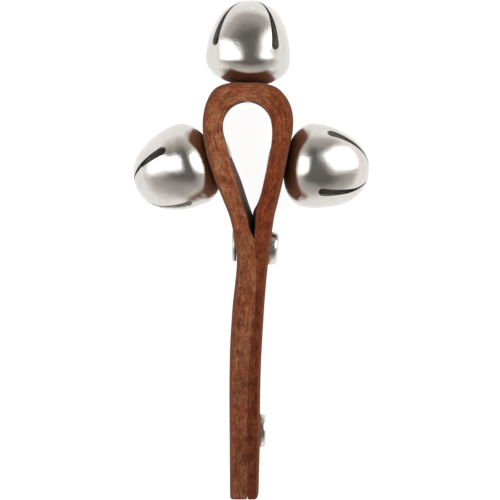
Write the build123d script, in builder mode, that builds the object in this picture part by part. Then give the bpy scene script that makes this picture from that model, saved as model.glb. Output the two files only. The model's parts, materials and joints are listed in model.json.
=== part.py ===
from build123d import *
import math
import os

# Hand-held sleigh bells: three jingle bells riveted to the outside of a leather loop whose two
# ends lie together as a handle. The strap's cut edge faces up (+Z), the handle points to -Y.

# ---- strap ----
STRAP_WIDTH = 20.0
MID_Z = 13.3                      # height of the strap's mid-width above the surface
LOOP_CENTRE = (-1.0, 36.8)        # centre of the loop's round top
LOOP_R = 7.33                     # inside radius of the loop's round top
HANDLE_END_Y = -74.617
SEAM_GAP = 0.08                   # between the two layers of the handle
ARC_START = 195.0                 # the round top runs from here, on the left ...
ARC_END = 10.0                    # ... over the top to here, on the right
CROTCH_NEAR = (1.0, 2.9)          # where the legs meet, on the upper cut edge
CROTCH_FAR = (1.15, 9.3)          # where they meet on the lower cut edge, as the left leg twists
OPENING_NEAR_RIGHT = [(6.48, 34.9), (5.8, 29.6), (2.1, 13.5)]
OPENING_NEAR_LEFT = [(-6.75, 29.6), (-2.7, 14.6)]
OPENING_FAR_RIGHT = [(6.48, 34.9), (5.8, 29.6), (4.0, 20.6)]
OPENING_FAR_LEFT = [(-6.4, 29.6), (-2.8, 20.6)]
LEFT_OUTLINE = [                  # outer side of the strap, from the top down to the straight handle
    (-3.0, 49.66), (-8.3, 49.35), (-12.9, 44.6), (-14.3, 35.5), (-13.0, 27.6), (-10.3, 19.6),
    (-6.4, 9.9), (-4.4, 0.5), (-4.15, -5.0), (-5.25, -15.5), (-6.1, -28.0), (-6.35, -41.0),
]
RIGHT_OUTLINE = [                 # and from the straight handle up to the top
    (2.85, -45.0), (3.2, -33.0), (3.85, -21.0), (4.7, -9.5), (5.6, -0.5), (7.1, 9.9),
    (9.3, 18.5), (11.2, 28.5), (12.78, 38.0), (9.9, 46.4), (4.6, 49.4), (0.5, 49.66),
]
LEFT_END_X = -6.12
LEFT_END_R = 1.0
RIGHT_END_X = 2.3
RIGHT_END_R = 1.5
TAPER_START = (2.85, -60.0)       # the right layer narrows from here to the end
NOTCH_X = (-2.9, -1.45, -1.0)     # left edge, deepest point and right edge of the notch
NOTCH_DEPTH = 1.2
TO_ORIGIN = (-0.185, 0.0, 0)      # brings the whole piece's middle to X = 0, Y = 0

# ---- bells: base in the flat, heading in the flat, dip of the crown, turn about the axis ----
BELLS = {
    "top": {"base": (-1.50, 49.35), "heading": 85.3, "dip": 3.0, "turn": 6.7},
    "left": {"base": (-11.30, 28.50), "heading": 203.4, "dip": 12.0, "turn": 13.0},
    "right": {"base": (10.45, 26.40), "heading": -9.4, "dip": 5.0, "turn": 9.0},
}
BELL_R = 12.7
BELL_FLAT_R = 2.0                 # small flat where the base is riveted
BELL_WAIST_H = 7.4                # height of the widest circle
BELL_SIDE_R = 26.0
BELL_CROWN_R = 11.0
BELL_WALL = 0.8
BELL_BORE_R = 1.66
SLOT_LOW_H = 10.3                 # lowest point of each slot
SLOT_ROUND_R = 1.35
SLOT_MID = (0.85, 18.5)           # half width of a slot, and the height at which it is that wide
SLOT_CROWN_W = 0.5
SLOT_CROWN_DROP = 2.0             # how far below the crown a slot stops tapering
PELLET_R = 3.0
PELLET_GAP = 0.3

# ---- bell rivets ----
SHANK_R = 1.6
HEAD_R = 3.2
HEAD_T = 0.9
WASHER_R = 3.4
WASHER_T = 0.7
WASHER_GAP = 0.3
TAIL_R = 2.4
TAIL_T = 0.9
FIT_GAP = 0.02                    # round a rivet in its hole
HEAD_BEVEL = 0.3
WASHER_ROUND = 0.2
SEAT_GAP = 0.25                   # between a bell's base and its seat in the leather
SEAM = [                          # the line between the handle's layers, from crotch to end
    (1.05, 9.6), (1.0, 2.9), (1.6, -3.8), (1.7, -11.3), (0.9, -22.5), (-0.6, -34.3),
    (-0.95, -50.0), (-0.95, -62.0), (-1.4, -74.0),
]
LEATHER_AT_BELL = {"top": 5.0, "left": 4.75, "right": 5.15}

# ---- handle rivets: a post with a flat head on the left, a domed cap on the right ----
CAP_R = 5.0
POST_HEAD_R = 4.85
POST_R = 1.5
CAP_SEAT = 0.2                    # how far a cap is pressed into the leather
CAP_ROUND = 1.2
CAP_ROOF = 0.6                    # metal left over the post's socket
POST_TIP_GAP = 0.05
POST_HEAD_ROUND = 0.45
HANDLE_RIVETS = {
    "upper": {"cap": (5.62, 0.30), "tilt": -6.0, "cap_t": 2.3, "head": (-4.72, 1.0), "head_t": 1.0},
    "lower": {"cap": (2.84, -54.28), "tilt": 0.0, "cap_t": 1.65, "head": (-5.45, 0.85), "head_t": 0.85},
}

os.makedirs("parts", exist_ok=True)


def tangent_height():
    """Height of the crown arc's centre, so that it runs on smoothly from the side arc."""
    gap = BELL_SIDE_R - BELL_CROWN_R
    return BELL_WAIST_H + math.sqrt(gap ** 2 - (BELL_SIDE_R - BELL_R) ** 2)


CROWN_CENTRE_H = tangent_height()
BELL_H = CROWN_CENTRE_H + BELL_CROWN_R
BLEND_ANGLE = math.atan2(CROWN_CENTRE_H - BELL_WAIST_H, BELL_SIDE_R - BELL_R)


def base_height(dip):
    """Height of a bell's base at which its side just touches the surface it lies on."""
    return BELL_SIDE_R - (BELL_SIDE_R - BELL_R) * math.cos(dip) + BELL_WAIST_H * math.sin(dip)


def bell_axes(name):
    """Base point, axis, the direction that faces up, and the direction across."""
    spec = BELLS[name]
    heading = math.radians(spec["heading"])
    dip = math.radians(spec["dip"])
    axis = Vector(math.cos(dip) * math.cos(heading), math.cos(dip) * math.sin(heading), -math.sin(dip))
    up = Vector(math.sin(dip) * math.cos(heading), math.sin(dip) * math.sin(heading), math.cos(dip))
    across = Vector(-math.sin(heading), math.cos(heading), 0)
    return Vector(*spec["base"], base_height(dip)), axis, up, across


def meridian_plane(name):
    """A plane through the bell's axis: local x is the radius, local y the height above the base."""
    base, axis, up, _ = bell_axes(name)
    return Plane(origin=base, x_dir=up, z_dir=up.cross(axis))


def cross_plane(name, height):
    """A plane square to the bell's axis, at a height above the base."""
    base, axis, up, _ = bell_axes(name)
    return Plane(origin=base + axis * height, x_dir=up, z_dir=axis)


def slot_plane(name, azimuth):
    """A plane through the bell's axis and square to a slot: local y is the height."""
    base, axis, up, across = bell_axes(name)
    angle = math.radians(azimuth)
    outward = up * math.cos(angle) + across * math.sin(angle)
    return Plane(origin=base, x_dir=axis.cross(outward), z_dir=outward)


def bell_outline(shrink):
    """Half outline of the bell, moved inwards by shrink, drawn in the open line context."""
    side_r = BELL_SIDE_R - shrink
    crown_r = BELL_CROWN_R - shrink
    side_centre = BELL_R - BELL_SIDE_R
    waist = (BELL_R - shrink, BELL_WAIST_H)
    half = BLEND_ANGLE / 2
    side_mid = (side_centre + side_r * math.cos(half), BELL_WAIST_H + side_r * math.sin(half))
    blend = (crown_r * math.cos(BLEND_ANGLE), CROWN_CENTRE_H + crown_r * math.sin(BLEND_ANGLE))
    crown_half = (BLEND_ANGLE + math.pi / 2) / 2
    crown_mid = (crown_r * math.cos(crown_half), CROWN_CENTRE_H + crown_r * math.sin(crown_half))
    apex = (0, CROWN_CENTRE_H + crown_r)
    Line((0, shrink), (BELL_FLAT_R, shrink))
    EllipticalCenterArc(
        (BELL_FLAT_R, BELL_WAIST_H), BELL_R - shrink - BELL_FLAT_R, BELL_WAIST_H - shrink, 270, arc_size=90
    )
    ThreePointArc(waist, side_mid, blend)
    ThreePointArc(blend, crown_mid, apex)
    Line(apex, (0, shrink))


def bell_body(name, shrink):
    """The bell's outer or inner shape as a solid, for cutting seats and hollows."""
    base, axis, _, _ = bell_axes(name)
    with BuildPart() as body:
        with BuildSketch(meridian_plane(name)):
            with BuildLine():
                bell_outline(shrink)
            make_face()
        revolve(axis=Axis(base, axis), revolution_arc=360)
    return body.part


def bell_shell(name):
    """One stamped shell: a round cup whose four petals close over the crown."""
    base, axis, _, _ = bell_axes(name)
    hollow = bell_body(name, BELL_WALL)
    with BuildPart() as shell:
        with BuildSketch(meridian_plane(name)):
            with BuildLine():
                bell_outline(0)
            make_face()
        revolve(axis=Axis(base, axis), revolution_arc=360)
        add(hollow, mode=Mode.SUBTRACT)
        for quarter in range(4):
            azimuth = BELLS[name]["turn"] + 45 + 90 * quarter
            round_h = SLOT_LOW_H + SLOT_ROUND_R
            crown_h = BELL_H - SLOT_CROWN_DROP
            half_w = SLOT_CROWN_W / 2
            with BuildSketch(slot_plane(name, azimuth)):
                with BuildLine():
                    Line((half_w, BELL_H + 1), (half_w, crown_h))
                    Spline((half_w, crown_h), SLOT_MID, (SLOT_ROUND_R, round_h),
                           tangents=[(0.2, -1), (0, -1)])
                    ThreePointArc((SLOT_ROUND_R, round_h), (0, SLOT_LOW_H), (-SLOT_ROUND_R, round_h))
                    Spline((-SLOT_ROUND_R, round_h), (-SLOT_MID[0], SLOT_MID[1]), (-half_w, crown_h),
                           tangents=[(0, 1), (0.2, 1)])
                    Line((-half_w, crown_h), (-half_w, BELL_H + 1))
                    Line((-half_w, BELL_H + 1), (half_w, BELL_H + 1))
                make_face()
            extrude(amount=BELL_R + 2, mode=Mode.SUBTRACT)
        with BuildSketch(cross_plane(name, -1)):
            Circle(BELL_BORE_R)
        extrude(amount=BELL_WALL + 3, mode=Mode.SUBTRACT)
    return shell.part


def bell_pellet(name):
    """The loose steel ball, lying at the lowest point inside the shell."""
    base, axis, up, _ = bell_axes(name)
    reach = BELL_R - BELL_WALL - PELLET_R - PELLET_GAP
    centre = base + axis * BELL_WAIST_H - up * reach
    with BuildPart() as pellet:
        with BuildSketch(Plane(origin=centre, x_dir=up, z_dir=up.cross(axis))):
            with BuildLine():
                CenterArc((0, 0), PELLET_R, -90, 180)
                Line((0, PELLET_R), (0, -PELLET_R))
            make_face()
        revolve(axis=Axis(centre, axis), revolution_arc=360)
    return pellet.part


def bell_washer(name):
    """The burr that the rivet's tail is spread over, inside the shell."""
    with BuildPart() as washer:
        with BuildSketch(cross_plane(name, BELL_WALL + WASHER_GAP)):
            Circle(WASHER_R)
            Circle(SHANK_R + FIT_GAP, mode=Mode.SUBTRACT)
        extrude(amount=WASHER_T)
        top = washer.faces().sort_by(Axis(*bell_axes(name)[:2]))[-1]
        fillet(top.edges().sort_by(SortBy.LENGTH)[-1], WASHER_ROUND)
    return washer.part


def bell_rivet(name):
    """Flat head sunk in the loop's inner face, a shank, and a tail spread over the washer."""
    base, axis, _, _ = bell_axes(name)
    leather = LEATHER_AT_BELL[name]
    washer_top = BELL_WALL + WASHER_GAP + WASHER_T
    dome_r = (TAIL_R ** 2 + TAIL_T ** 2) / (2 * TAIL_T)
    half_angle = math.asin(TAIL_R / dome_r) / 2
    dome_mid = (dome_r * math.sin(half_angle), washer_top + TAIL_T - dome_r * (1 - math.cos(half_angle)))
    with BuildPart() as rivet:
        with BuildSketch(meridian_plane(name)):
            with BuildLine():
                Polyline(
                    (0, -leather),
                    (HEAD_R - HEAD_BEVEL, -leather),
                    (HEAD_R, -leather + HEAD_BEVEL),
                    (HEAD_R, -leather + HEAD_T),
                    (SHANK_R, -leather + HEAD_T),
                    (SHANK_R, washer_top),
                    (TAIL_R, washer_top),
                )
                ThreePointArc((TAIL_R, washer_top), dome_mid, (0, washer_top + TAIL_T))
                Line((0, washer_top + TAIL_T), (0, -leather))
            make_face()
        revolve(axis=Axis(base, axis), revolution_arc=360)
    return rivet.part


def rivet_plane(which):
    """Plane square to a handle rivet, at the leather under its cap, facing out of the cap."""
    spec = HANDLE_RIVETS[which]
    tilt = math.radians(spec["tilt"])
    outward = Vector(math.cos(tilt), math.sin(tilt), 0)
    seat = Vector(spec["cap"][0], spec["cap"][1], MID_Z) - outward * CAP_SEAT
    return Plane(origin=seat, x_dir=(0, 0, 1), z_dir=outward)


def head_depth(which):
    """Distance from the cap's seat to the underside of the post's head."""
    spec = HANDLE_RIVETS[which]
    plane = rivet_plane(which)
    return (plane.origin.X - spec["head"][0]) / plane.z_dir.X


def rivet_cap(which):
    """Domed cap with a blind socket for the post."""
    spec = HANDLE_RIVETS[which]
    plane = rivet_plane(which)
    thick = spec["cap_t"] + CAP_SEAT
    with BuildPart() as cap:
        with BuildSketch(plane):
            Circle(CAP_R)
        extrude(amount=thick)
        far = cap.faces().sort_by(Axis(plane.origin, plane.z_dir))[-1]
        fillet(far.edges(), CAP_ROUND)
        with BuildSketch(plane):
            Circle(POST_R + FIT_GAP)
        extrude(amount=thick - CAP_ROOF, mode=Mode.SUBTRACT)
    return cap.part


def rivet_post(which):
    """Post with a thin flat head; its tip ends in the cap."""
    spec = HANDLE_RIVETS[which]
    plane = rivet_plane(which)
    depth = head_depth(which)
    head_t = spec["head_t"]
    thick = spec["cap_t"] + CAP_SEAT
    with BuildPart() as post:
        with BuildSketch(plane.offset(-depth - head_t)):
            Circle(POST_HEAD_R)
        extrude(amount=head_t)
        near = post.faces().sort_by(Axis(plane.origin, plane.z_dir))[0]
        fillet(near.edges(), POST_HEAD_ROUND)
        with BuildSketch(plane.offset(-depth)):
            Circle(POST_R)
        extrude(amount=depth + thick - CAP_ROOF - POST_TIP_GAP)
    return post.part


def opening_outline(crotch, right_side, left_side):
    """The teardrop opening: a round top, then two sides that run down to the crotch."""
    cx, cy = LOOP_CENTRE
    start = math.radians(ARC_START)
    left_top = (cx + LOOP_R * math.cos(start), cy + LOOP_R * math.sin(start))
    end = math.radians(ARC_END)
    right_top = (cx + LOOP_R * math.cos(end), cy + LOOP_R * math.sin(end))
    ThreePointArc(left_top, (cx, cy + LOOP_R), right_top)
    Spline(right_top, *right_side, crotch)
    Spline(crotch, *reversed(left_side), left_top)


def save(piece, name):
    """Centre the piece on the origin, name it and write it out."""
    placed = piece.moved(Location(TO_ORIGIN))
    placed.label = name
    export_step(placed, f"parts/{name}.step")


# ---- leather strap: one strip, folded over into a loop ----
end_y = HANDLE_END_Y
with BuildPart() as leather_strap:
    with BuildSketch(Plane.XY.offset(MID_Z - STRAP_WIDTH / 2)):
        with BuildLine():
            Spline(*LEFT_OUTLINE, tangents=[(-1, 0), (0, -1)])
            left_mid = LEFT_END_R * (1 - math.sqrt(0.5))
            left_corner = (LEFT_END_X, end_y + LEFT_END_R)
            Line(LEFT_OUTLINE[-1], left_corner)
            left_foot = (LEFT_END_X + LEFT_END_R, end_y)
            ThreePointArc(left_corner, (LEFT_END_X + left_mid, end_y + left_mid), left_foot)
            right_mid = RIGHT_END_R * (1 - math.sqrt(0.5))
            right_corner = (RIGHT_END_X, end_y + RIGHT_END_R)
            right_foot = (RIGHT_END_X - RIGHT_END_R, end_y)
            Line(left_foot, right_foot)
            ThreePointArc(right_foot, (RIGHT_END_X - right_mid, end_y + right_mid), right_corner)
            Line(right_corner, TAPER_START)
            Line(TAPER_START, RIGHT_OUTLINE[0])
            Spline(*RIGHT_OUTLINE, tangents=[(0, 1), (-1, 0)])
            Line(RIGHT_OUTLINE[-1], LEFT_OUTLINE[0])
        make_face()
    extrude(amount=STRAP_WIDTH)
    # the teardrop opening, a little narrower on the lower edge, where the left leg twists
    with BuildSketch(Plane.XY.offset(MID_Z - STRAP_WIDTH / 2)):
        with BuildLine():
            opening_outline(CROTCH_FAR, OPENING_FAR_RIGHT, OPENING_FAR_LEFT)
        make_face()
    with BuildSketch(Plane.XY.offset(MID_Z + STRAP_WIDTH / 2)):
        with BuildLine():
            opening_outline(CROTCH_NEAR, OPENING_NEAR_RIGHT, OPENING_NEAR_LEFT)
        make_face()
    loft(ruled=True, mode=Mode.SUBTRACT)
    # the seam between the two layers of the handle, and the notch where it ends
    with BuildSketch(Plane.XY.offset(MID_Z - STRAP_WIDTH / 2)):
        with BuildLine():
            left_side = Spline(*[(x - SEAM_GAP / 2, y) for x, y in SEAM])
            right_side = Spline(*[(x + SEAM_GAP / 2, y) for x, y in SEAM])
            Line(left_side @ 0, right_side @ 0)
            Line(left_side @ 1, right_side @ 1)
        make_face()
        with BuildLine():
            left_x, deep_x, right_x = NOTCH_X
            Polyline((left_x, end_y - 1), (left_x, end_y), (deep_x, end_y + NOTCH_DEPTH),
                     (right_x, end_y), (right_x, end_y - 1), close=True)
        make_face()
    extrude(amount=STRAP_WIDTH, mode=Mode.SUBTRACT)
    # a pressed seat for each bell, its rivet's hole and the recess for its head
    for bell in BELLS:
        add(bell_body(bell, -SEAT_GAP), mode=Mode.SUBTRACT)
        with BuildSketch(cross_plane(bell, -LEATHER_AT_BELL[bell] - 3)):
            Circle(HEAD_R + FIT_GAP)
        extrude(amount=HEAD_T + 3, mode=Mode.SUBTRACT)
        with BuildSketch(cross_plane(bell, -LEATHER_AT_BELL[bell] - 1)):
            Circle(SHANK_R + FIT_GAP)
        extrude(amount=LEATHER_AT_BELL[bell] + 3, mode=Mode.SUBTRACT)
    # seats and holes for the handle rivets
    for which in HANDLE_RIVETS:
        seat = rivet_plane(which)
        depth = head_depth(which)
        with BuildSketch(seat):
            Circle(CAP_R + FIT_GAP)
        extrude(amount=6, mode=Mode.SUBTRACT)
        with BuildSketch(seat.offset(-depth - 5)):
            Circle(POST_HEAD_R + FIT_GAP)
        extrude(amount=5, mode=Mode.SUBTRACT)
        with BuildSketch(seat.offset(-depth - 1)):
            Circle(POST_R + FIT_GAP)
        extrude(amount=depth + 2, mode=Mode.SUBTRACT)
save(leather_strap.part, "leather_strap")

# ---- each bell is a shell, a loose pellet, a rivet and a washer ----
MAKERS = {"shell": bell_shell, "pellet": bell_pellet, "rivet": bell_rivet, "washer": bell_washer}
for bell in BELLS:
    for kind, maker in MAKERS.items():
        save(maker(bell), f"{bell}_bell_{kind}")

# ---- the two rivets that hold the handle's layers together ----
for which in HANDLE_RIVETS:
    for kind, maker in {"cap": rivet_cap, "post": rivet_post}.items():
        save(maker(which), f"{which}_rivet_{kind}")
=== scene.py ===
import json
import math

import bmesh
import bpy
from bpy.props import FloatProperty, FloatVectorProperty, PointerProperty
from bpy.types import Operator, Panel, PropertyGroup
from mathutils import Matrix, Vector, noise


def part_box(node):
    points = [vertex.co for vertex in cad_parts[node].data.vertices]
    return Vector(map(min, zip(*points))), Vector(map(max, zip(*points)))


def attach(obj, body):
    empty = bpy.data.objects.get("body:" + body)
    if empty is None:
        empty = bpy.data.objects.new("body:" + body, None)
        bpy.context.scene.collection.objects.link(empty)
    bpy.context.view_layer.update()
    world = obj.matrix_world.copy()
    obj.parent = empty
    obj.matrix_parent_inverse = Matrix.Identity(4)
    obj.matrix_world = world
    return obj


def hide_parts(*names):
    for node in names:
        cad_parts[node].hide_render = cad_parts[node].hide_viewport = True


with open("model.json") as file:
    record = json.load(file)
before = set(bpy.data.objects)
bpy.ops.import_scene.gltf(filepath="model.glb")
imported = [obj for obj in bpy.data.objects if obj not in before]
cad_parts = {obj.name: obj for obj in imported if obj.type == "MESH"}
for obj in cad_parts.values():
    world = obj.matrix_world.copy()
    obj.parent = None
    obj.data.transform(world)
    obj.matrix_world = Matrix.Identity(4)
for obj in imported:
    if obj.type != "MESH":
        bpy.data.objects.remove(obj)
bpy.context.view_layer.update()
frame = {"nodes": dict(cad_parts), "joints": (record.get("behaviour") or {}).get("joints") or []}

bl_info = {
    "name": "Sleigh Bells",
    "version": (1, 0, 0),
    "blender": (4, 5, 0),
    "location": "View3D > Sidebar > Sleigh Bells",
    "description": "Jingle bells riveted to a folded leather strap",
    "category": "Add Mesh",
}

MM = 0.001
JOINTS = {joint["name"]: joint for joint in frame["joints"]}
BELLS = ("top", "left", "right")

# ---- the strap's line, in millimetres ----
# Each place on the strip: outer (grain) side x, y, then inner (flesh) side x, y, then how far the
# lower edge stands to the right of the upper edge, first on the outer side and then on the inner.
STRIP = (
    (-5.45, -74.60, -1.40, -74.60, 0.0, 0.0),
    (-5.95, -74.35, -1.12, -74.48, 0.0, 0.0),
    (-6.12, -73.70, -0.98, -74.00, 0.0, 0.0),
    (-6.20, -66.00, -0.92, -66.00, 0.0, 0.0),
    (-6.27, -55.00, -0.95, -55.00, 0.0, 0.0),
    (-6.35, -45.00, -0.77, -45.00, 0.0, 0.0),
    (-6.30, -36.00, -0.60, -36.00, 0.0, 0.0),
    (-6.10, -28.00, 0.05, -28.50, 0.0, 0.0),
    (-5.70, -21.50, 0.98, -22.00, 0.0, 0.0),
    (-5.25, -15.50, 1.53, -15.50, 0.0, 0.0),
    (-4.55, -9.50, 1.75, -9.50, 0.0, 0.0),
    (-4.15, -5.00, 1.68, -4.50, 0.0, 0.0),
    (-4.20, -1.50, 1.43, -1.00, 0.1, 0.0),
    (-4.45, 0.80, 1.02, 2.90, 0.4, 0.1),
    (-5.20, 5.00, -0.35, 5.90, 1.0, 1.4),
    (-6.40, 9.90, -1.10, 9.70, 1.5, 1.95),
    (-8.30, 14.70, -2.75, 14.70, 1.7, 1.9),
    (-10.30, 19.60, -4.10, 20.40, 1.4, 1.4),
    (-12.00, 24.40, -5.75, 25.20, 1.0, 1.1),
    (-13.30, 28.80, -6.85, 29.80, 0.4, 0.4),
    (-14.30, 35.50, -8.12, 34.90, 0.0, 0.0),
    (-14.05, 40.60, -8.22, 38.07, 0.0, 0.0),
    (-12.90, 44.60, -7.35, 40.46, 0.0, 0.0),
    (-10.60, 48.00, -5.74, 42.42, 0.0, 0.0),
    (-6.30, 49.62, -3.51, 43.69, 0.0, 0.0),
    (-1.20, 49.66, -1.00, 44.13, 0.0, 0.0),
    (3.60, 49.55, 1.51, 43.69, 0.0, 0.0),
    (8.20, 48.00, 3.97, 42.19, 0.0, 0.0),
    (11.40, 44.10, 5.64, 39.90, 0.0, 0.0),
    (12.65, 40.00, 6.28, 37.60, 0.0, 0.0),
    (12.60, 35.20, 6.45, 34.60, 0.0, 0.0),
    (11.80, 31.40, 6.20, 31.30, 0.0, 0.0),
    (11.15, 28.30, 5.65, 28.30, 0.0, 0.0),
    (10.20, 23.40, 4.80, 24.20, 0.0, 0.0),
    (9.45, 19.40, 4.00, 20.60, 0.0, 0.0),
    (8.55, 15.70, 3.20, 17.00, 0.0, 0.0),
    (7.75, 12.50, 2.40, 13.70, -0.1, -0.4),
    (7.20, 10.20, 1.70, 11.10, -0.3, -1.05),
    (6.70, 7.40, 1.50, 7.20, -0.2, -0.8),
    (6.05, 2.60, 1.10, 2.90, 0.0, 0.0),
    (5.55, -1.00, 1.43, -1.00, 0.0, 0.0),
    (5.15, -5.00, 1.68, -4.50, 0.0, 0.0),
    (4.70, -9.50, 1.75, -9.50, 0.0, 0.0),
    (4.20, -15.50, 1.53, -15.50, 0.0, 0.0),
    (3.78, -22.00, 0.98, -22.00, 0.0, 0.0),
    (3.40, -28.50, 0.05, -28.50, 0.0, 0.0),
    (3.05, -36.00, -0.60, -36.00, 0.0, 0.0),
    (2.85, -45.00, -0.77, -45.00, 0.0, 0.0),
    (2.85, -55.00, -0.95, -55.00, 0.0, 0.0),
    (2.55, -66.00, -0.92, -66.00, 0.0, 0.0),
    (2.35, -73.00, -0.95, -74.00, 0.0, 0.0),
    (2.05, -74.10, -0.84, -74.45, 0.0, 0.0),
    (1.55, -74.58, -0.60, -74.60, 0.0, 0.0),
)
STRIP_SHIFT = -0.185            # brings the strip onto the frame's middle
STRIP_STEP = 1.0                # length of one step along the strip
FACE_STEPS = 20                 # steps down each face
EDGE_STEPS = 5                  # steps across each cut edge
CORNER_STEPS = 3
HANDLE_TOP_Y = 3.0              # below here the two layers lie together
SEAM_CORNER = 0.10              # how round the strip's corners are along the seam
LOOP_CORNER = 0.45              # inside the loop
GRAIN_CORNER = 0.55             # and on the grain side
CORNER_SHARE = 0.3              # a corner is never rounder than this share of the thickness
PLAIN_THICKNESS = 5.0           # thickness for counting steps, and for the texture's scale
BLEND_LENGTH = 4.0              # how far the loop's round corners take to turn into the seam's
TONE_START = 0.46               # share of the strip where the darker half begins
TONE_SPREAD = 0.16
CUT_SHARE = {"cut": 1.0, "border": 0.35}    # how much of the cut edge's look each zone has
MERGE_DIST = 0.000005           # points nearer than this, in metres, are one
END_INSET = 0.0005              # ring round each cut end, in metres
SEAT_GAP = 0.28                 # leather stays this far under a bell
SEAT_REACH = 0.95               # share of a bell's radius that the leather makes room for
SEAT_LOW, SEAT_HIGH = -2.0, 6.0             # heights about a bell's base where it makes room

# Dents round the fasteners, in metres: radius, fade round it, and how far the level stands outward.
PRESS_REACH = 0.002             # only leather nearer than this is pressed
BELL_RIVET_DENT = (0.0034, 0.0018, -0.00045)
CAP_DENT = (0.0051, 0.0016, 0.0002)
HEAD_DENT = (0.005, 0.0018, 0.00015)

# ---- bells, in millimetres ----
BELL_FLAT_R = 2.0               # flat base against the leather
BELL_WAIST_H = 7.4              # height of the widest place
BELL_SIDE_R = 26.0              # arc from the widest place up
BELL_CROWN_R = 11.0             # arc over the crown
BELL_BORE_R = 1.7               # hole for the rivet
BELL_TIP_R = 0.5                # where the petals end at the crown
SLOT_LOW_H = 10.3               # lower end of a slot
SLOT_ROUND_R = 1.35             # and how round it is
SLOT_TAPER = ((11.65, 1.35), (18.5, 0.85), (22.5, 0.42), (26.0, 0.25))   # height, half width
SLOT_LEAST = 0.3                # half width where the slot's round end starts
COLUMNS_PER_PETAL = 24
SWELL_START, SWELL_RISE = 7.4, 5.5          # heights over which the slots begin to stand out
SWELL_END, SWELL_FALL = 25.0, 8.0           # and where they stop
SWELL_SHARPNESS = 1.3
RIM_WIDTH = 0.00016             # bevel of the slots' rims, in metres
RIM_ANGLE = 50                  # least angle, in degrees, that is bevelled
BELL_TURN = {"top": 6.7, "left": 13.0, "right": 9.0}            # degrees about its own axis
LEATHER_AT_BELL = {"top": 5.0, "left": 4.75, "right": 5.15}     # thickness of the leather under it

# ---- handle rivets, in millimetres ----
# For each: the cap's tilt in degrees and plain thickness, the dome's height and shoulder, the post
# head's thickness, and how far the head is drawn into the leather.
RIVETS = {
    "upper": {"tilt": -6.0, "cap_t": 2.5, "dome": 2.95, "shoulder": 1.15, "head_t": 1.3, "sink": 0.35},
    "lower": {"tilt": 0.0, "cap_t": 1.85, "dome": 1.9, "shoulder": 0.62, "head_t": 0.8, "sink": 0.0},
}
CAP_R = 5.0
POST_HEAD_R = 4.85
POST_R = 1.5
POST_TIP = 0.3                  # how far the post ends short of the cap's seat
SPIN_STEPS = 48

# ---- stage, in metres ----
LIGHT_TARGET = (0, 0.02, 0.01)
FLOOR_HALF = 2.5
CAMERA_LENS = 480.9             # in millimetres
CAMERA_AT = (-0.000365, -0.00024)
CAMERA_ABOVE = 2.0              # above the middle of the strap's width
# Greys of the room by height, from the horizon up, and their tint.
ROOM_GREYS = ((0.0, 0.95), (0.14, 0.85), (0.22, 0.55), (0.56, 0.47), (0.67, 0.15), (1.0, 0.19))
ROOM_TINT = (1.0, 0.955, 0.9)
ROOM_UNEVENNESS = 0.3


class BellSettings(PropertyGroup):
    """Sizes and finish of the bells."""
    radius: FloatProperty(
        name="Radius", description="Half of a bell's widest diameter", default=0.0127, unit="LENGTH")
    wall: FloatProperty(
        name="Wall", description="Thickness of the sheet metal", default=0.0008, unit="LENGTH")
    swell: FloatProperty(
        name="Corner Swell", description="How far the slots stand out from a round section",
        default=0.045, subtype="FACTOR")
    ripple: FloatProperty(
        name="Ripple", description="Height of the unevenness left by stamping", default=0.00003,
        unit="LENGTH")
    color: FloatVectorProperty(
        name="Metal Colour", description="Colour of the bright nickel plate", default=(0.65, 0.63, 0.605),
        subtype="COLOR", size=3)
    roughness: FloatProperty(
        name="Roughness", description="How dull the plate is", default=0.11, subtype="FACTOR")


class StrapSettings(PropertyGroup):
    """Size and colours of the leather strap."""
    width: FloatProperty(
        name="Width", description="Width of the strap", default=0.02, unit="LENGTH")
    unevenness: FloatProperty(
        name="Unevenness", description="How uneven the cut edges are", default=0.00007, unit="LENGTH")
    light_edge: FloatVectorProperty(
        name="Light Edge", description="Lightest fibres of the cut edge", default=(0.44, 0.205, 0.105),
        subtype="COLOR", size=3)
    edge: FloatVectorProperty(
        name="Edge", description="Usual colour of the cut edge", default=(0.25, 0.076, 0.029),
        subtype="COLOR", size=3)
    dark_edge: FloatVectorProperty(
        name="Dark Edge", description="Darkest fibres of the cut edge", default=(0.1, 0.024, 0.008),
        subtype="COLOR", size=3)
    grain: FloatVectorProperty(
        name="Grain", description="Colour of the smooth grain side", default=(0.22, 0.075, 0.032),
        subtype="COLOR", size=3)


class StageSettings(PropertyGroup):
    """Light on the object."""
    fill: FloatProperty(
        name="Fill", description="Power of the wide light overhead", default=2.5, unit="POWER")
    side: FloatProperty(
        name="Side", description="Power of each side's soft box", default=5.0, unit="POWER")
    glow: FloatProperty(
        name="Glow", description="Light that comes through the floor, as on a light table", default=0.93,
        subtype="FACTOR")
    floor: FloatVectorProperty(
        name="Floor", description="Colour of the floor", default=(0.22, 0.22, 0.218),
        subtype="COLOR", size=3)


def ease(value):
    """Smooth step from 0 to 1."""
    value = min(1.0, max(0.0, value))
    return value * value * (3 - 2 * value)


def between(value, pairs):
    """Value on a broken line of (place, value) pairs."""
    if value <= pairs[0][0]:
        return pairs[0][1]
    for (start, low), (end, high) in zip(pairs, pairs[1:]):
        if value <= end:
            return low + (high - low) * (value - start) / (end - start)
    return pairs[-1][1]


def make_piece(name, bm, materials, body, replaced=()):
    """Turns a bmesh into a piece that rides on a body."""
    mesh = bpy.data.meshes.new(name)
    for face in bm.faces:
        face.smooth = True
    bm.to_mesh(mesh)
    bm.free()
    piece = bpy.data.objects.new(name, mesh)
    bpy.context.scene.collection.objects.link(piece)
    for material in materials:
        mesh.materials.append(material)
    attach(piece, body)
    if replaced:
        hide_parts(*replaced)
    return piece


# ---------------------------------------------------------------- materials


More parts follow.
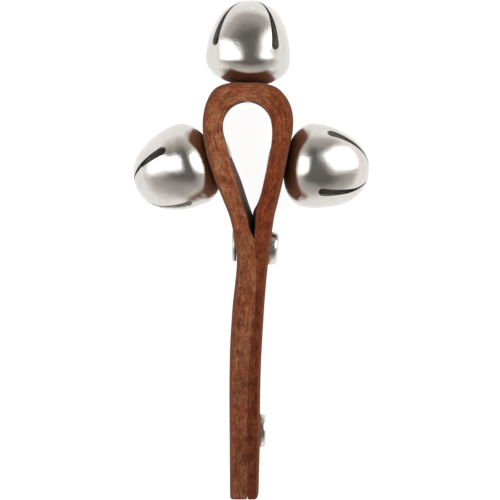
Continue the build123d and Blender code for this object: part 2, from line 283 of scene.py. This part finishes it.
class Nodes:
    """Short calls for a material's node tree."""

    def __init__(self, name):
        self.material = bpy.data.materials.new(name)
        self.material.use_nodes = True
        self.tree = self.material.node_tree
        self.shader = self.tree.nodes["Principled BSDF"]

    def add(self, kind, **values):
        node = self.tree.nodes.new(kind)
        for key, value in values.items():
            setattr(node, key, value)
        return node

    def link(self, source, target):
        self.tree.links.new(source, target)

    def coords(self, kind, scale):
        """Object or UV coordinates, scaled along each axis."""
        source = self.add("ShaderNodeTexCoord").outputs[kind]
        mapping = self.add("ShaderNodeMapping")
        mapping.inputs["Scale"].default_value = scale
        self.link(source, mapping.inputs["Vector"])
        return mapping.outputs["Vector"]

    def noise(self, vector, scale, detail=6.0, roughness=0.6, distortion=0.0):
        node = self.add("ShaderNodeTexNoise")
        node.inputs["Scale"].default_value = scale
        node.inputs["Detail"].default_value = detail
        node.inputs["Roughness"].default_value = roughness
        node.inputs["Distortion"].default_value = distortion
        self.link(vector, node.inputs["Vector"])
        return node.outputs["Fac"]

    def attribute(self, name):
        return self.add("ShaderNodeAttribute", attribute_name=name).outputs["Fac"]

    def ramp(self, value, stops):
        """Colour ramp with (place, colour) stops."""
        node = self.add("ShaderNodeValToRGB")
        elements = node.color_ramp.elements
        while len(elements) < len(stops):
            elements.new(0.5)
        for element, (place, color) in zip(elements, stops):
            element.position = place
            element.color = (*color, 1.0)
        self.link(value, node.inputs["Fac"])
        return node.outputs["Color"]

    def reach(self, value, low, high, new_low=0.0, new_high=1.0):
        """Maps a range of values onto another."""
        node = self.add("ShaderNodeMapRange")
        node.inputs["From Min"].default_value = low
        node.inputs["From Max"].default_value = high
        node.inputs["To Min"].default_value = new_low
        node.inputs["To Max"].default_value = new_high
        self.link(value, node.inputs["Value"])
        return node.outputs["Result"]

    def mix(self, factor, first, second, blend="MIX"):
        """Mixes two colours; a factor, or a colour, may be a plain value."""
        node = self.add("ShaderNodeMix", data_type="RGBA", blend_type=blend)
        for socket, value in ((node.inputs[0], factor), (node.inputs[6], first), (node.inputs[7], second)):
            if isinstance(value, bpy.types.NodeSocket):
                self.link(value, socket)
            elif isinstance(value, float):
                socket.default_value = value
            else:
                socket.default_value = (*value, 1.0)
        return node.outputs[2]

    def sum(self, first, second, operation="ADD"):
        node = self.add("ShaderNodeMath", operation=operation)
        for socket, value in zip(node.inputs, (first, second)):
            if isinstance(value, bpy.types.NodeSocket):
                self.link(value, socket)
            else:
                socket.default_value = value
        return node.outputs[0]

    def bump(self, height, distance, strength=1.0):
        node = self.add("ShaderNodeBump")
        node.inputs["Strength"].default_value = strength
        node.inputs["Distance"].default_value = distance
        self.link(height, node.inputs["Height"])
        self.link(node.outputs["Normal"], self.shader.inputs["Normal"])


def nickel_material(settings):
    """Bright nickel plate: faint cloudiness, fine scratches and a soft ripple."""
    nodes = Nodes("bright_nickel")
    shader = nodes.shader
    shader.inputs["Metallic"].default_value = 1.0
    place = nodes.coords("Object", (1, 1, 1))
    cloud = nodes.noise(place, 260, 5, 0.6, 0.6)
    fine = nodes.noise(place, 1900, 4, 0.7)
    dull = nodes.sum(nodes.reach(cloud, 0.35, 0.7, 0.6, 1.7), settings.roughness, "MULTIPLY")
    nodes.link(dull, shader.inputs["Roughness"])
    warm = tuple(channel * shade for channel, shade in zip(settings.color, (0.93, 0.9, 0.86)))
    color = nodes.mix(nodes.reach(cloud, 0.45, 0.75), tuple(settings.color), warm)
    nodes.link(color, shader.inputs["Base Color"])
    nodes.bump(nodes.sum(cloud, fine), 0.0001, 0.6)
    return nodes.material


def steel_material():
    """Plain steel with a duller, slightly brown surface."""
    nodes = Nodes("plain_steel")
    shader = nodes.shader
    shader.inputs["Metallic"].default_value = 1.0
    place = nodes.coords("Object", (1, 1, 1))
    cloud = nodes.noise(place, 500, 6, 0.65, 0.5)
    nodes.link(nodes.reach(cloud, 0.3, 0.7, 0.22, 0.45), shader.inputs["Roughness"])
    color = nodes.ramp(cloud, (
        (0.3, (0.34, 0.31, 0.28)),
        (0.55, (0.52, 0.5, 0.47)),
        (0.8, (0.62, 0.6, 0.57)),
    ))
    nodes.link(color, shader.inputs["Base Color"])
    nodes.bump(cloud, 0.00004, 0.6)
    return nodes.material


def leather_material(settings):
    """Thick harness leather: fibrous cut edges, a darker smooth grain side and a matt flesh side."""
    nodes = Nodes("harness_leather")
    shader = nodes.shader
    along = nodes.coords("UV", (420, 2300, 1))
    fibres = nodes.noise(along, 1.0, 8, 0.7, 0.35)
    long_streaks = nodes.noise(nodes.coords("UV", (90, 1300, 1)), 1.0, 5, 0.6, 0.3)
    place = nodes.coords("Object", (1, 1, 1))
    blotch = nodes.noise(place, 330, 6, 0.65, 0.4)
    specks = nodes.noise(place, 2100, 4, 0.7)
    grain = nodes.noise(place, 1500, 8, 0.65, 0.3)

    tone = nodes.attribute("tone")
    mixed = nodes.sum(fibres, 0.45, "MULTIPLY")
    for layer, amount in ((blotch, 0.35), (long_streaks, 0.22), (specks, 0.33), (tone, -0.03)):
        mixed = nodes.sum(mixed, nodes.sum(layer, amount, "MULTIPLY"))
    edge_color = nodes.ramp(mixed, (
        (0.56, tuple(settings.dark_edge)),
        (0.67, tuple(settings.edge)),
        (0.79, tuple(settings.light_edge)),
    ))
    patches = nodes.noise(place, 170, 3, 0.5, 0.8)
    redness = nodes.reach(patches, 0.42, 0.64, 0.0, 0.6)
    edge_color = nodes.mix(redness, edge_color, (1.12, 0.72, 0.6), "MULTIPLY")
    edge_color = nodes.mix(tone, edge_color, (0.8, 0.58, 0.44), "MULTIPLY")
    # The cut edge darkens towards the handle's end: its colour falls to 0.6 of itself at low Y, by height
    # along the strap only.
    split = nodes.add("ShaderNodeSeparateXYZ")
    nodes.link(place, split.inputs["Vector"])
    darker_toward_end = nodes.reach(split.outputs["Y"], -0.07, 0.025, 0.6, 1.0)
    edge_color = nodes.mix(1.0, edge_color, darker_toward_end, "MULTIPLY")
    dark = tuple(channel * 0.45 for channel in settings.grain)
    grain_color = nodes.ramp(grain, ((0.3, dark), (0.62, tuple(settings.grain))))
    flesh_color = nodes.ramp(mixed, (
        (0.3, (0.045, 0.017, 0.008)),
        (0.55, (0.1, 0.039, 0.019)),
        (0.8, (0.17, 0.078, 0.04)),
    ))
    cut = nodes.attribute("cut")
    flesh = nodes.attribute("flesh")
    sides = nodes.mix(flesh, grain_color, flesh_color)
    ragged = nodes.sum(cut, nodes.reach(blotch, 0.3, 0.7, -0.18, 0.18))
    color = nodes.mix(nodes.reach(ragged, 0.45, 0.75), sides, edge_color)
    nodes.link(color, shader.inputs["Base Color"])
    shine = nodes.reach(fibres, 0.3, 0.7, 0.55, 0.75)
    nodes.link(shine, shader.inputs["Roughness"])
    shader.inputs["Specular IOR Level"].default_value = 0.12
    shader.inputs["Sheen Weight"].default_value = 0.03
    shader.inputs["Sheen Roughness"].default_value = 0.5
    height = nodes.sum(nodes.sum(fibres, 0.6, "MULTIPLY"), nodes.sum(specks, 0.5, "MULTIPLY"))
    nodes.bump(height, 0.00022, 0.7)
    return nodes.material


# ---------------------------------------------------------------- leather strap


def smooth_line(places, step):
    """Points along a smooth line through the places, about a step apart, with each one's distance."""
    middles = [Vector(((p[0] + p[2]) / 2, (p[1] + p[3]) / 2)) for p in places]
    reach = [0.0]
    for first, second in zip(middles, middles[1:]):
        reach.append(reach[-1] + (second - first).length)
    slopes = []
    for i in range(len(places)):
        before, after = max(i - 1, 0), min(i + 1, len(places) - 1)
        span = reach[after] - reach[before]
        slopes.append([(b - a) / span for a, b in zip(places[before], places[after])])
    line = []
    for i in range(len(places) - 1):
        span = reach[i + 1] - reach[i]
        count = max(1, round(span / step))
        for k in range(count + (i == len(places) - 2)):
            t = k / count
            h00 = 2 * t ** 3 - 3 * t ** 2 + 1
            h10 = t ** 3 - 2 * t ** 2 + t
            h01 = 3 * t ** 2 - 2 * t ** 3
            h11 = t ** 3 - t ** 2
            point = [
                h00 * a + h10 * span * m + h01 * b + h11 * span * n
                for a, m, b, n in zip(places[i], slopes[i], places[i + 1], slopes[i + 1])
            ]
            line.append((reach[i] + t * span, point))
    return line


def section(thick, width, inner_corner):
    """Closed outline of the strip's section: share across from the grain side, and height.
    It starts in the middle of the flesh side, and gives each point's zone as well."""
    half = width / 2
    grain_corner = min(GRAIN_CORNER, thick * CORNER_SHARE)
    inner_corner = min(inner_corner, thick * CORNER_SHARE)
    points = []

    def face(across, start, end, steps, zone):
        for k in range(steps):
            points.append((across, start + (end - start) * k / steps, zone))

    def edge(start, end, height, steps):
        for k in range(steps):
            points.append((start + (end - start) * k / steps, height, "cut"))

    def corner(cx, cz, radius, first, zone_start, zone_end):
        for k in range(CORNER_STEPS):
            angle = math.radians(first + 90 * k / CORNER_STEPS)
            zone = zone_start if k < CORNER_STEPS / 2 else zone_end
            points.append((cx + radius * math.cos(angle), cz + radius * math.sin(angle), zone))

    inner_x = thick - inner_corner
    face(thick, 0.0, half - inner_corner, FACE_STEPS // 2, "flesh")
    corner(inner_x, half - inner_corner, inner_corner, 0, "flesh", "cut")
    edge(inner_x, grain_corner, half, EDGE_STEPS)
    corner(grain_corner, half - grain_corner, grain_corner, 90, "border", "grain")
    face(0.0, half - grain_corner, grain_corner - half, FACE_STEPS, "grain")
    corner(grain_corner, grain_corner - half, grain_corner, 180, "grain", "border")
    edge(grain_corner, inner_x, -half, EDGE_STEPS)
    corner(inner_x, inner_corner - half, inner_corner, 270, "cut", "flesh")
    face(thick, inner_corner - half, 0.0, FACE_STEPS // 2, "flesh")
    return [(across / thick, height, zone) for across, height, zone in points]


def press(point, centre, outward, radius, fade, level):
    """Presses a point of the leather's surface down to a level under a disc, fading out round it."""
    offset = point - centre
    high = offset.dot(outward)
    away = (offset - outward * high).length
    if abs(high) > PRESS_REACH or away > radius + fade:
        return point
    return point + outward * min(0.0, level - high) * (1 - ease((away - radius) / fade))


def bell_place(name):
    """A bell's base, axis and the direction that faces up, from the frame's joints."""
    turn = JOINTS[f"{name}_bell_turn"]
    roll = JOINTS[f"{name}_pellet_roll"]
    return Vector(turn["pos_m"]), Vector(turn["axis"]).normalized(), Vector(roll["axis"]).normalized()


def clear_of_bell(point, base, axis, radius):
    """Keeps the leather's surface just under a bell's base."""
    offset = (point - base) / MM
    height = offset.dot(axis)
    away = (offset - axis * height).length
    reach = radius / MM - BELL_FLAT_R
    if not SEAT_LOW < height < SEAT_HIGH or away > BELL_FLAT_R + reach * SEAT_REACH:
        return point
    beyond = max(0.0, away - BELL_FLAT_R) / reach
    bell = BELL_WAIST_H * (1 - math.sqrt(1 - beyond ** 2))
    allowed = bell - SEAT_GAP
    return point + axis * (min(0.0, allowed - height) * MM)


def cap_place(which):
    """Middle of a cap's seat and the way it faces, from the CAD cap's box."""
    low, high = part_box(f"{which}_rivet_cap")
    tilt = math.radians(RIVETS[which]["tilt"])
    outward = Vector((math.cos(tilt), math.sin(tilt), 0))
    return (low + high) / 2 - outward * RIVETS[which]["cap_t"] / 2 * MM, outward


def head_place(which):
    """Middle of a post head's underside and the way it faces, from the CAD post's box."""
    low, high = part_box(f"{which}_rivet_post")
    lean = math.sin(math.radians(abs(RIVETS[which]["tilt"]))) * POST_HEAD_R * MM / 2
    facing = Vector((-1, 0, 0))
    thick = (RIVETS[which]["head_t"] + RIVETS[which]["sink"]) * MM
    middle = (low + high) / 2
    return Vector((low.x + lean + thick, middle.y - lean, middle.z)), facing


def strap_mesh(settings, bell_radius):
    """One strip, folded over: a grid bent round the section and along the line."""
    line = smooth_line(STRIP, STRIP_STEP)
    total = line[-1][0]
    width = settings.width / MM
    around = section(PLAIN_THICKNESS, width, LOOP_CORNER)
    rows, columns = len(line) - 1, len(around)
    low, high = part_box("leather_strap")
    middle = (low.z + high.z) / 2

    rings = []
    for distance, (ox, oy, ix, iy, outer_twist, inner_twist) in line:
        thick = math.hypot(ix - ox, iy - oy)
        in_handle = ease((HANDLE_TOP_Y + BLEND_LENGTH - (oy + iy) / 2) / BLEND_LENGTH)
        corner = LOOP_CORNER + (SEAM_CORNER - LOOP_CORNER) * in_handle
        ring = []
        for share, height, zone in section(thick, width, corner):
            down = 0.5 - height / width
            x = ox + (ix - ox) * share + down * (outer_twist + (inner_twist - outer_twist) * share)
            y = oy + (iy - oy) * share
            ring.append((Vector((x + STRIP_SHIFT, y, 0)) * MM + Vector((0, 0, middle + height * MM)), zone))
        rings.append(ring)

    bm = bmesh.new()
    uv = bm.loops.layers.uv.new("UVMap")
    cut = bm.verts.layers.float.new("cut")
    flesh = bm.verts.layers.float.new("flesh")
    tone = bm.verts.layers.float.new("tone")
    bmesh.ops.create_grid(bm, x_segments=rows, y_segments=columns, size=0.5, calc_uvs=True)
    girth = 2 * (width + PLAIN_THICKNESS)
    for loop in (loop for face in bm.faces for loop in face.loops):
        loop[uv].uv = (loop[uv].uv.x * total * MM, loop[uv].uv.y * girth * MM)
    for vert in bm.verts:
        row = round((vert.co.x + 0.5) * rows)
        column = round((vert.co.y + 0.5) * columns)
        place, zone = rings[row][column % columns]
        vert[cut] = CUT_SHARE.get(zone, 0.0)
        vert[flesh] = 1.0 if zone == "flesh" else 0.0
        share = line[row][0] / total
        vert[tone] = ease((share - TONE_START) / TONE_SPREAD)
        vert.co = place
    bmesh.ops.remove_doubles(bm, verts=bm.verts, dist=MERGE_DIST)
    ends = [edge for edge in bm.edges if edge.is_boundary]
    caps = bmesh.ops.holes_fill(bm, edges=ends, sides=0)["faces"]
    bmesh.ops.inset_individual(bm, faces=caps, thickness=END_INSET, depth=0.0)
    bmesh.ops.recalc_face_normals(bm, faces=bm.faces)

    bm.normal_update()
    for vert in bm.verts:
        point = vert.co.copy()
        wobble = noise.noise(point * 700) * 0.55 + noise.noise(point * 260 + Vector((3, 7, 1)))
        strength = settings.unevenness * (1.0 if vert[cut] > 0.5 else 0.35)
        vert.co = point + vert.normal * wobble * strength
    bells = [bell_place(name) for name in BELLS]
    dents = []
    for name, (base, axis, _) in zip(BELLS, bells):
        dents.append((base - axis * LEATHER_AT_BELL[name] * MM, -axis, *BELL_RIVET_DENT))
    for which in RIVETS:
        dents.append((*cap_place(which), *CAP_DENT))
        dents.append((*head_place(which), *HEAD_DENT))
    for vert in bm.verts:
        point = vert.co.copy()
        for base, axis, _ in bells:
            point = clear_of_bell(point, base, axis, bell_radius)
        for dent in dents:
            point = press(point, *dent)
        vert.co = point
    return bm


# ---------------------------------------------------------------- bells


def shell_outline(radius):
    """Half outline of a bell from its bore to the tip of its petals, as (radius, height) pairs."""
    points = [(BELL_BORE_R, 0.0), (BELL_FLAT_R, 0.0)]
    side = BELL_SIDE_R - radius
    crown_h = BELL_WAIST_H + math.sqrt((BELL_SIDE_R - BELL_CROWN_R) ** 2 - side ** 2)
    blend = math.atan2(crown_h - BELL_WAIST_H, side)
    for k in range(1, 10):
        angle = math.radians(270 + 10 * k)
        points.append((BELL_FLAT_R + (radius - BELL_FLAT_R) * math.cos(angle),
                       BELL_WAIST_H * (1 + math.sin(angle))))
    heights = [8.1, 8.8, 9.4, 9.9]
    heights += [SLOT_LOW_H + SLOT_ROUND_R * (1 - math.cos(math.radians(15 * k))) for k in range(7)]
    blend_h = BELL_WAIST_H + BELL_SIDE_R * math.sin(blend)
    heights += [heights[-1] + (blend_h - heights[-1]) * k / 10 for k in range(1, 11)]
    for height in heights:
        points.append((math.sqrt(BELL_SIDE_R ** 2 - (height - BELL_WAIST_H) ** 2) - side, height))
    tip = math.acos(BELL_TIP_R / BELL_CROWN_R)
    for k in range(1, 15):
        angle = blend + (tip - blend) * k / 14
        points.append((BELL_CROWN_R * math.cos(angle), crown_h + BELL_CROWN_R * math.sin(angle)))
    return points


def slot_half_width(height):
    """Half width of a slot at a height: a round lower end, then a long taper."""
    rise = SLOT_LOW_H + SLOT_ROUND_R - height
    if rise > 0:
        return max(SLOT_LEAST, math.sqrt(max(0.0, SLOT_ROUND_R ** 2 - rise ** 2)))
    return between(height, SLOT_TAPER)


def shell_mesh(name, settings):
    """A spun cup whose columns close up beside four slots, which are then opened."""
    radius = settings.radius / MM
    columns = 4 * COLUMNS_PER_PETAL
    step = 2 * math.pi / columns
    bm = bmesh.new()
    chain = [bm.verts.new((r * math.cos(step / 2), r * math.sin(step / 2), h))
             for r, h in shell_outline(radius)]
    edges = [bm.edges.new(pair) for pair in zip(chain, chain[1:])]
    bmesh.ops.spin(bm, geom=chain + edges, cent=(0, 0, 0), axis=(0, 0, 1), dvec=(0, 0, 0),
                   angle=2 * math.pi, steps=columns, use_merge=True)
    bmesh.ops.remove_doubles(bm, verts=bm.verts, dist=0.001)

    def from_slot(co):
        """Nearest slot's angle, and the signed angle away from it."""
        angle = math.atan2(co.y, co.x)
        slot = round(angle / (math.pi / 2)) * math.pi / 2
        return slot, angle - slot

    open_faces = []
    for face in bm.faces:
        middle = face.calc_center_median()
        _, away = from_slot(middle)
        lowest = min(vert.co.z for vert in face.verts)
        if abs(away) < step / 4 and lowest > SLOT_LOW_H - 0.001:
            open_faces.append(face)
    bmesh.ops.delete(bm, geom=open_faces, context="FACES")

    quarter = math.pi / 4
    for vert in bm.verts:
        slot, away = from_slot(vert.co)
        height, out = vert.co.z, math.hypot(vert.co.x, vert.co.y)
        if height > SLOT_LOW_H - 0.001:
            first = math.asin(min(0.66, slot_half_width(height) / out))
            share = (abs(away) - step / 2) / (quarter - step / 2)
            away = math.copysign(first + (quarter - first) * share, away)
        bulge = ease((height - SWELL_START) / SWELL_RISE) * ease((SWELL_END - height) / SWELL_FALL)
        corner = (0.5 + 0.5 * math.cos(4 * away)) ** SWELL_SHARPNESS
        out *= 1 + settings.swell * bulge * corner
        angle = slot + away
        vert.co = (out * math.cos(angle), out * math.sin(angle), height)
    bmesh.ops.recalc_face_normals(bm, faces=bm.faces)
    widest = max(bm.faces, key=lambda face: face.calc_center_median().xy.length)
    if widest.normal.xy.dot(widest.calc_center_median().xy) < 0:
        bmesh.ops.reverse_faces(bm, faces=bm.faces)

    bm.normal_update()
    seed = Vector((BELLS.index(name) * 11.0, 5.0, 2.0))
    ripple = settings.ripple / MM
    for vert in bm.verts:
        wave = noise.noise(vert.co * 0.22 + seed) * 1.6 + noise.noise(vert.co * 0.6 + seed) * 0.5
        vert.co += vert.normal * wave * ripple

    base, axis, up = bell_place(name)
    across = up.cross(axis)
    slot_angle = math.radians(BELL_TURN[name] + 45)
    turn = Matrix.Rotation(-slot_angle, 4, "Z")
    place = Matrix((
        (up.x, -across.x, axis.x, base.x),
        (up.y, -across.y, axis.y, base.y),
        (up.z, -across.z, axis.z, base.z),
        (0, 0, 0, 1),
    ))
    bmesh.ops.transform(bm, matrix=place @ Matrix.Scale(MM, 4) @ turn, verts=bm.verts)
    return bm


# ---------------------------------------------------------------- rivets


def cap_mesh(which):
    """A domed cap, spun about the rivet's axis, with a soft shoulder and a turned-in skirt."""
    top = RIVETS[which]["dome"]
    shoulder = RIVETS[which]["shoulder"]
    outline = (
        (0.0, top), (1.6, top - 0.01), (3.0, top - 0.05), (CAP_R - shoulder, top - 0.12),
        (CAP_R - shoulder * 0.38, top - shoulder * 0.3), (CAP_R - 0.06, top - shoulder),
        (CAP_R, 0.5), (CAP_R - 0.04, 0.12), (CAP_R - 0.3, 0.0), (0.0, 0.0),
    )
    return spun_about(outline, *cap_place(which))


def post_mesh(which):
    """A thin flat head with a rounded rim, and the post behind it."""
    under, facing = head_place(which)
    thick = RIVETS[which]["head_t"]
    seat, _ = cap_place(which)
    length = (seat.x - under.x) / MM
    outline = (
        (0.0, thick), (2.5, thick - 0.02), (POST_HEAD_R - 0.5, thick - 0.08),
        (POST_HEAD_R - 0.12, thick - 0.28), (POST_HEAD_R, thick * 0.4),
        (POST_HEAD_R - 0.15, 0.06), (POST_HEAD_R - 0.5, 0.0),
        (POST_R + 0.3, 0.0), (POST_R, -0.3), (POST_R, POST_TIP - length), (0.0, POST_TIP - length),
    )
    return spun_about(outline, under, facing)


def spun_about(outline, place, facing):
    """Spins a half outline of (radius, height) pairs about an axis at a place."""
    bm = bmesh.new()
    chain = [bm.verts.new((r, 0, h)) for r, h in outline]
    edges = [bm.edges.new(pair) for pair in zip(chain, chain[1:])]
    bmesh.ops.spin(bm, geom=chain + edges, cent=(0, 0, 0), axis=(0, 0, 1), dvec=(0, 0, 0),
                   angle=2 * math.pi, steps=SPIN_STEPS, use_merge=True)
    bmesh.ops.remove_doubles(bm, verts=bm.verts, dist=0.0005)
    bmesh.ops.recalc_face_normals(bm, faces=bm.faces)
    turn = facing.to_track_quat("Z", "Y").to_matrix().to_4x4()
    bmesh.ops.transform(bm, matrix=Matrix.Translation(place) @ turn @ Matrix.Scale(MM, 4), verts=bm.verts)
    return bm


# ---------------------------------------------------------------- stage


def aim(thing, place, target):
    """Puts a light or camera at a place, facing a target."""
    thing.location = place
    thing.rotation_euler = (Vector(target) - Vector(place)).to_track_quat("-Z", "Y").to_euler()


def soft_box(name, direction, distance, size, power, mirrored=True):
    """A rectangular soft light that faces the bells. It may be left out of the metal's reflections."""
    light = bpy.data.lights.new(name, "AREA")
    light.shape = "RECTANGLE"
    light.size, light.size_y = size
    light.energy = power
    lamp = bpy.data.objects.new(name, light)
    bpy.context.scene.collection.objects.link(lamp)
    target = Vector(LIGHT_TARGET)
    aim(lamp, target + Vector(direction).normalized() * distance, target)
    lamp.visible_glossy = mirrored


def studio_world():
    """A dim room overhead, paler towards the horizon."""
    world = bpy.data.worlds.new("studio")
    world.use_nodes = True
    tree = world.node_tree
    back = tree.nodes["Background"]
    coords = tree.nodes.new("ShaderNodeTexCoord")
    split = tree.nodes.new("ShaderNodeSeparateXYZ")
    tree.links.new(coords.outputs["Generated"], split.inputs["Vector"])
    blotch = tree.nodes.new("ShaderNodeTexNoise")
    blotch.inputs["Scale"].default_value = 4.0
    blotch.inputs["Detail"].default_value = 5.0
    blotch.inputs["Distortion"].default_value = 1.2
    tree.links.new(coords.outputs["Generated"], blotch.inputs["Vector"])
    ramp = tree.nodes.new("ShaderNodeValToRGB")
    elements = ramp.color_ramp.elements
    while len(elements) < len(ROOM_GREYS):
        elements.new(0.5)
    for element, (place, grey) in zip(elements, ROOM_GREYS):
        element.position = place
        element.color = (*(grey * channel for channel in ROOM_TINT), 1)
    shift = tree.nodes.new("ShaderNodeMath")
    shift.operation = "MULTIPLY_ADD"
    shift.inputs[1].default_value = ROOM_UNEVENNESS
    tree.links.new(blotch.outputs["Fac"], shift.inputs[0])
    tree.links.new(split.outputs["Z"], shift.inputs[2])
    lower = tree.nodes.new("ShaderNodeMath")
    lower.operation = "SUBTRACT"
    lower.inputs[1].default_value = ROOM_UNEVENNESS / 2
    tree.links.new(shift.outputs[0], lower.inputs[0])
    tree.links.new(lower.outputs[0], ramp.inputs["Fac"])
    tree.links.new(ramp.outputs["Color"], back.inputs["Color"])
    bpy.context.scene.world = world


# ---------------------------------------------------------------- operators


class SLEIGH_OT_strap(Operator):
    """Make the folded leather strap"""
    bl_idname = "sleigh.strap"
    bl_label = "Leather Strap"

    def execute(self, context):
        settings = context.scene.sleigh_strap
        bm = strap_mesh(settings, context.scene.sleigh_bell.radius)
        piece = make_piece("folded_strap", bm, [leather_material(settings)], "strap",
                           ["leather_strap"])
        smooth = piece.modifiers.new("smooth", "SUBSURF")
        smooth.levels = 1
        smooth.render_levels = 1
        return {"FINISHED"}


class SLEIGH_OT_shells(Operator):
    """Make the bells' slotted shells"""
    bl_idname = "sleigh.shells"
    bl_label = "Bell Shells"

    def execute(self, context):
        settings = context.scene.sleigh_bell
        metal = nickel_material(settings)
        for name in BELLS:
            piece = make_piece(f"{name}_shell", shell_mesh(name, settings), [metal], f"{name}_bell",
                               [f"{name}_bell_shell"])
            wall = piece.modifiers.new("wall", "SOLIDIFY")
            wall.thickness = settings.wall
            wall.offset = -1
            wall.use_even_offset = True
            rim = piece.modifiers.new("rim", "BEVEL")
            rim.width = RIM_WIDTH
            rim.segments = 2
            rim.limit_method = "ANGLE"
            rim.angle_limit = math.radians(RIM_ANGLE)
            smooth = piece.modifiers.new("smooth", "SUBSURF")
            smooth.levels = 1
            smooth.render_levels = 1
        return {"FINISHED"}


class SLEIGH_OT_bell_insides(Operator):
    """Finish the pellets, washers and rivets of the bells"""
    bl_idname = "sleigh.bell_insides"
    bl_label = "Bell Insides"

    def execute(self, context):
        metal = steel_material()
        names = [f"{bell}_bell_{kind}" for bell in BELLS for kind in ("pellet", "washer", "rivet")]
        for name in names:
            node = frame["nodes"][name]
            node.data.materials.clear()
            node.data.materials.append(metal)
        return {"FINISHED"}


class SLEIGH_OT_handle_rivets(Operator):
    """Make the caps of the handle's rivets and finish their posts"""
    bl_idname = "sleigh.handle_rivets"
    bl_label = "Handle Rivets"

    def execute(self, context):
        metal = nickel_material(context.scene.sleigh_bell)
        steel = steel_material()
        for which in RIVETS:
            cap = make_piece(f"{which}_cap", cap_mesh(which), [metal], "strap",
                             [f"{which}_rivet_cap"])
            post = make_piece(f"{which}_post", post_mesh(which), [steel], "strap",
                              [f"{which}_rivet_post"])
            for piece in (cap, post):
                smooth = piece.modifiers.new("smooth", "SUBSURF")
                smooth.levels = 2
                smooth.render_levels = 2
        return {"FINISHED"}


class SLEIGH_OT_stage(Operator):
    """Make the floor, the lights and the camera"""
    bl_idname = "sleigh.stage"
    bl_label = "Stage"

    def execute(self, context):
        settings = context.scene.sleigh_stage
        bm = bmesh.new()
        bmesh.ops.create_grid(bm, x_segments=1, y_segments=1, size=FLOOR_HALF)
        mesh = bpy.data.meshes.new("floor")
        bm.to_mesh(mesh)
        bm.free()
        floor = bpy.data.objects.new("floor", mesh)
        context.scene.collection.objects.link(floor)
        paint = Nodes("pale_floor")
        paint.shader.inputs["Base Color"].default_value = (*settings.floor, 1)
        paint.shader.inputs["Roughness"].default_value = 0.9
        paint.shader.inputs["Specular IOR Level"].default_value = 0.0
        paint.shader.inputs["Emission Color"].default_value = (1, 1, 1, 1)
        paint.shader.inputs["Emission Strength"].default_value = settings.glow
        mesh.materials.append(paint.material)

        soft_box("overhead_fill", (0.05, 0.1, 1), 1.3, (1.6, 1.6), settings.fill, mirrored=False)
        soft_box("left_box", (-0.74, 0.08, 0.66), 0.9, (0.62, 0.95), settings.side)
        soft_box("right_box", (0.8, 0.32, 0.5), 0.9, (0.62, 0.8), settings.side * 0.9)
        studio_world()

        camera_data = bpy.data.cameras.new("camera")
        camera_data.lens = CAMERA_LENS
        camera_data.clip_end = 10
        camera = bpy.data.objects.new("camera", camera_data)
        context.scene.collection.objects.link(camera)
        low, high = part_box("leather_strap")
        camera.location = (*CAMERA_AT, (low.z + high.z) / 2 + CAMERA_ABOVE)
        context.scene.camera = camera
        context.scene.view_settings.view_transform = "Standard"
        return {"FINISHED"}


class SLEIGH_PT_panel(Panel):
    """The object's pieces, in the sidebar"""
    bl_label = "Sleigh Bells"
    bl_space_type = "VIEW_3D"
    bl_region_type = "UI"
    bl_category = "Sleigh Bells"

    def draw(self, context):
        for operator in OPERATORS:
            self.layout.operator(operator.bl_idname)
        for name in SETTINGS:
            box = self.layout.box()
            group = getattr(context.scene, name)
            for key in group.__annotations__:
                box.prop(group, key)


SETTINGS = {"sleigh_bell": BellSettings, "sleigh_strap": StrapSettings, "sleigh_stage": StageSettings}
OPERATORS = (
    SLEIGH_OT_stage,
    SLEIGH_OT_strap,
    SLEIGH_OT_shells,
    SLEIGH_OT_bell_insides,
    SLEIGH_OT_handle_rivets,
)


def register():
    for group in SETTINGS.values():
        bpy.utils.register_class(group)
    for operator in OPERATORS:
        bpy.utils.register_class(operator)
    bpy.utils.register_class(SLEIGH_PT_panel)
    for name, group in SETTINGS.items():
        setattr(bpy.types.Scene, name, PointerProperty(type=group))


def unregister():
    for name in SETTINGS:
        delattr(bpy.types.Scene, name)
    bpy.utils.unregister_class(SLEIGH_PT_panel)
    for operator in reversed(OPERATORS):
        bpy.utils.unregister_class(operator)
    for group in reversed(list(SETTINGS.values())):
        bpy.utils.unregister_class(group)


def main():
    register()
    bpy.ops.sleigh.stage()
    bpy.ops.sleigh.strap()
    bpy.ops.sleigh.shells()
    bpy.ops.sleigh.bell_insides()
    bpy.ops.sleigh.handle_rivets()


if __name__ == "__main__":
    main()
